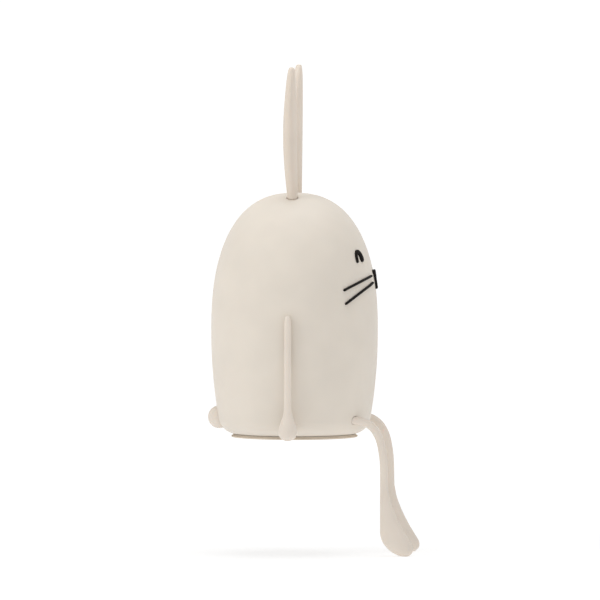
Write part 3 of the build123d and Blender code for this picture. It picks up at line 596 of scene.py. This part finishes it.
def ridge(name, path, proud, stands_for):
    """A half-round line laid along the shell. The path is (bearing in radians, height, width) points."""
    places = [on_body(bearing, z) for bearing, z, width in path]
    length = [0.0]
    for (a, _), (b, _) in zip(places, places[1:]):
        length.append(length[-1] + (b - a).length)
    rings = []
    for i, (point, normal) in enumerate(places):
        before = places[max(0, i - 1)][0]
        after = places[min(len(places) - 1, i + 1)][0]
        side = normal.cross(after - before).normalized()
        reach = path[i][2] / 2
        from_end = min(1.0, min(length[i], length[-1] - length[i]) / reach)
        share = max(0.04, math.sqrt(1 - (1 - from_end) ** 2))
        ring = []
        for turn in range(RIDGE_SIDES):
            across = math.cos(TURN * turn / RIDGE_SIDES)
            up = math.sin(TURN * turn / RIDGE_SIDES)
            rise = proud * share**0.6 * up**0.7 if up > 0 else SINK * up
            ring.append(point + side * (reach * share * across) + normal * rise)
        rings.append(ring)
    vertices, faces = skin(rings)
    add_mesh(name, vertices, faces, FACE, "shell", stands_for, 60)


def surface_path(points, middle_bearing, steps):
    """Rows of across, height and width in millimetres, seen square on from a bearing, laid on the body."""
    path = []
    for across, z, width in curve_through(points, steps):
        radius = crown_point(crown_angle(z * MM))[0]
        path.append((middle_bearing + math.asin(across * MM / radius), z * MM, width * MM))
    return path


FACE_PROUD = 1.15 * MM
NOSE_PROUD = 1.4 * MM
EYE_BEARING = math.radians(26.3)
# The eye's arch, back foot to front foot: across towards the nose, height, width of the line.
EYE_ARCH = (
    (-2.75, 96.55, 1.75),
    (-2.75, 98.4, 1.8),
    (-2.6, 100.1, 1.9),
    (-2.0, 101.55, 2.15),
    (-0.7, 102.5, 2.5),
    (0.8, 102.05, 2.95),
    (1.95, 100.7, 3.35),
    (2.45, 99.0, 3.65),
    (2.55, 96.9, 3.7),
)
WHISKER_BEARING = math.radians(30)
WHISKER_W = 1.4
UPPER_WHISKER = ((-14.2, 82.0), (-9.2, 83.85), (-3.3, 85.6), (3.9, 87.35), (14.1, 89.0))
LOWER_WHISKER = ((-13.8, 74.5), (-8.6, 77.3), (-2.7, 80.0), (4.7, 82.6), (15.2, 85.3))
NOSE_Z = 86.7
NOSE_H = 10.7
NOSE_W = 8.4
NOSE_STROKE = 1.7
NOSE_PAD_H = 5.6
NOSE_CORNER_R = 1.1
NOSE_OVERLAP = 2.2        # how far the line under the pad reaches up behind it
# The pad's rings: how far inside the outline, and how far off the shell, in millimetres.
NOSE_PAD = ((0.0, -0.3), (0.0, 0.9), (0.08, 1.2), (0.25, 1.38), (0.5, 1.45), (1.1, 1.48))


def make_eye(name, side):
    """A closed, smiling eye: an arch whose line grows wider towards the nose."""
    arch = [(-side * across, z, width) for across, z, width in EYE_ARCH]
    path = surface_path(arch, side * EYE_BEARING, 8)
    ridge(name + "_eye_arch", path, FACE_PROUD, [name + "_eye"])


def make_whiskers(name, side):
    for which, points in (("upper", UPPER_WHISKER), ("lower", LOWER_WHISKER)):
        placed = [(-side * across, z, WHISKER_W) for across, z in points]
        path = surface_path(placed, side * WHISKER_BEARING, 16)
        ridge(f"{name}_{which}_whisker", path, FACE_PROUD, [name + "_whiskers"])


def rounded_triangle(half_width, top, bottom, radius):
    """Points of a triangle that stands on one corner, with round corners, going round once."""
    corners = [(-half_width, top), (0.0, bottom), (half_width, top)]
    outline = []
    for i, corner in enumerate(corners):
        here = Vector(corner)
        before = (Vector(corners[i - 1]) - here).normalized()
        after = (Vector(corners[(i + 1) % 3]) - here).normalized()
        opening = math.acos(max(-1.0, min(1.0, before.dot(after)))) / 2
        centre = here + (before + after).normalized() * (radius / math.sin(opening))
        inwards = centre - (here + before * radius / math.tan(opening))
        start = math.atan2(-inwards.y, -inwards.x)
        sweep = math.pi - 2 * opening
        for step in range(9):
            angle = start + sweep * step / 8
            outline.append(centre + Vector((math.cos(angle), math.sin(angle))) * radius)
    return outline


def make_nose():
    """A soft-edged pad with a short line under it."""
    top = NOSE_Z + NOSE_H / 2
    bottom = NOSE_Z - NOSE_H / 2
    pad_bottom = top - NOSE_PAD_H
    rings = []
    for inset, height in NOSE_PAD:
        half_width = NOSE_W / 2 - inset
        corner_r = NOSE_CORNER_R - inset * 0.4
        ring = []
        for across, z in rounded_triangle(
            half_width, top - inset * 0.8, pad_bottom + inset * 1.6, corner_r
        ):
            radius = crown_point(crown_angle(z * MM))[0]
            point, normal = on_body(across * MM / radius, z * MM)
            ring.append(point + normal * height * MM)
        rings.append(ring)
    vertices, faces = skin(rings)
    add_mesh("nose_pad", vertices, faces, FACE, "shell", ["nose"], 60)
    ends = ((0.0, pad_bottom + NOSE_OVERLAP, NOSE_STROKE), (0.0, bottom, NOSE_STROKE))
    ridge("nose_line", surface_path(ends, 0, 24), NOSE_PROUD, ["nose"])


# ================================================================ pieces carried over from the frame
WELD_GAP = 0.001 * MM
EDGE_W = 0.08 * MM


def dress_cad_nodes():
    """Gives every node that is still shown its finish, and breaks its sharp edges."""
    for row in frame["record"]["subparts"]:
        node = frame["nodes"][row["node"]]
        slot = row["material_slot"]
        node.data.materials.clear()
        node.data.materials.append(FINISHES[slot])
        if node.hide_render:
            continue
        weld = node.modifiers.new("weld", "WELD")
        weld.merge_threshold = WELD_GAP
        edge = node.modifiers.new("edge", "BEVEL")
        edge.width = EDGE_W
        edge.segments = 2
        edge.limit_method = "ANGLE"
        edge.angle_limit = math.radians(50)
        edge.harden_normals = False
        node.data.shade_smooth()
        node.data.set_sharp_from_angle(angle=math.radians(35))


# ================================================================ room, light and camera
FLOOR_HALF = 80.0         # metres, so that it fills the view as far as the horizon
FLOOR_GREY = (0.55, 0.55, 0.55)
GLOW = (0.55, 0.74)       # the floor's own light near the rabbit and far from it
GLOW_REACH = (0.15, 0.9)
# The studio's brightness: (height in a direction, grey), from the horizon up.
SKY = ((0.08, 1.0), (0.18, 0.70), (0.45, 0.56))


def make_floor():
    """A white ground that glows a little less where the lights already reach it."""
    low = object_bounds()[0].z
    turns = ((-1, -1), (1, -1), (1, 1), (-1, 1))
    corners = [(x * FLOOR_HALF, y * FLOOR_HALF, low) for x, y in turns]
    mesh = bpy.data.meshes.new("floor")
    mesh.from_pydata(corners, [], [(0, 1, 2, 3)])
    floor = bpy.data.objects.new("floor", mesh)
    bpy.context.scene.collection.objects.link(floor)
    finish, tree, plain = shader("floor_white", FLOOR_GREY, 0.9)
    plain.inputs["Specular IOR Level"].default_value = 0.0
    plain.inputs["Emission Color"].default_value = (1, 1, 1, 1)
    where = tree.nodes.new("ShaderNodeTexCoord")
    away = tree.nodes.new("ShaderNodeVectorMath")
    away.operation = "LENGTH"
    tree.links.new(where.outputs["Object"], away.inputs["Vector"])
    glow = between(tree, away.outputs["Value"], *GLOW, *GLOW_REACH)
    tree.links.new(glow, plain.inputs["Emission Strength"])
    mesh.materials.append(finish)


def make_world():
    """A white horizon under a dimmer ceiling."""
    world = bpy.data.worlds.new("studio")
    world.use_nodes = True
    tree = world.node_tree
    where = tree.nodes.new("ShaderNodeTexCoord")
    split = tree.nodes.new("ShaderNodeSeparateXYZ")
    ramp = tree.nodes.new("ShaderNodeValToRGB")
    stops = ramp.color_ramp.elements
    stops.new(SKY[1][0])
    for stop, (height, grey) in zip(stops, SKY):
        stop.position = height
        stop.color = (grey, grey, grey, 1)
    tree.links.new(where.outputs["Generated"], split.inputs["Vector"])
    tree.links.new(split.outputs["Z"], ramp.inputs["Fac"])
    tree.links.new(ramp.outputs["Color"], tree.nodes["Background"].inputs["Color"])
    tree.nodes["Background"].inputs["Strength"].default_value = 1.0
    bpy.context.scene.world = world


LIT_POINT = Vector((0, 0, 0.07))


def add_light(name, place, size, power, colour):
    """A round soft light that faces the middle of the rabbit."""
    lamp = bpy.data.lights.new(name, "AREA")
    lamp.shape = "DISK"
    lamp.size = size
    lamp.energy = power
    lamp.color = colour
    light = bpy.data.objects.new(name, lamp)
    light.location = place
    light.rotation_mode = "QUATERNION"
    light.rotation_quaternion = (Vector(place) - LIT_POINT).to_track_quat("Z", "Y")
    bpy.context.scene.collection.objects.link(light)


def make_lights():
    add_light("key", (-0.50, -0.36, 0.46), 0.24, 0.95, (1.0, 0.99, 0.97))
    add_light("top", (0.04, 0.0, 0.62), 0.50, 1.45, (0.97, 0.985, 1.0))


AZIMUTH = math.radians(4.75)
ELEVATION = math.radians(2.75)
DISTANCE = 9.0            # far off, so that the view is nearly without perspective
VIEW_W = 0.33             # width of the view at the rabbit
SENSOR_W = 36
AIM_AHEAD = 3.0           # the middle of the view, in millimetres
AIM_UP = 75.1


def make_camera():
    back = Vector((math.sin(AZIMUTH), -math.cos(AZIMUTH), math.tan(ELEVATION))).normalized()
    right = Vector((math.cos(AZIMUTH), math.sin(AZIMUTH), 0))
    aim = right * AIM_AHEAD * MM + back.cross(right) * AIM_UP * MM
    lens = bpy.data.cameras.new("camera")
    lens.sensor_width = SENSOR_W
    lens.lens = SENSOR_W * DISTANCE / VIEW_W
    lens.clip_start = 0.1
    lens.clip_end = 300
    camera = bpy.data.objects.new("camera", lens)
    camera.location = aim + back * DISTANCE
    camera.rotation_mode = "QUATERNION"
    camera.rotation_quaternion = back.to_track_quat("Z", "Y")
    bpy.context.scene.collection.objects.link(camera)
    bpy.context.scene.camera = camera


# ================================================================ build
make_shell()
for side_name, side_sign in SIDES:
    make_ear(side_name)
    make_arm(side_name, side_sign)
    make_leg(side_name)
    make_eye(side_name, side_sign)
    make_whiskers(side_name, side_sign)
make_tail()
make_nose()
dress_cad_nodes()
make_floor()
make_world()
make_lights()
make_camera()
bpy.context.scene.view_settings.view_transform = "Standard"
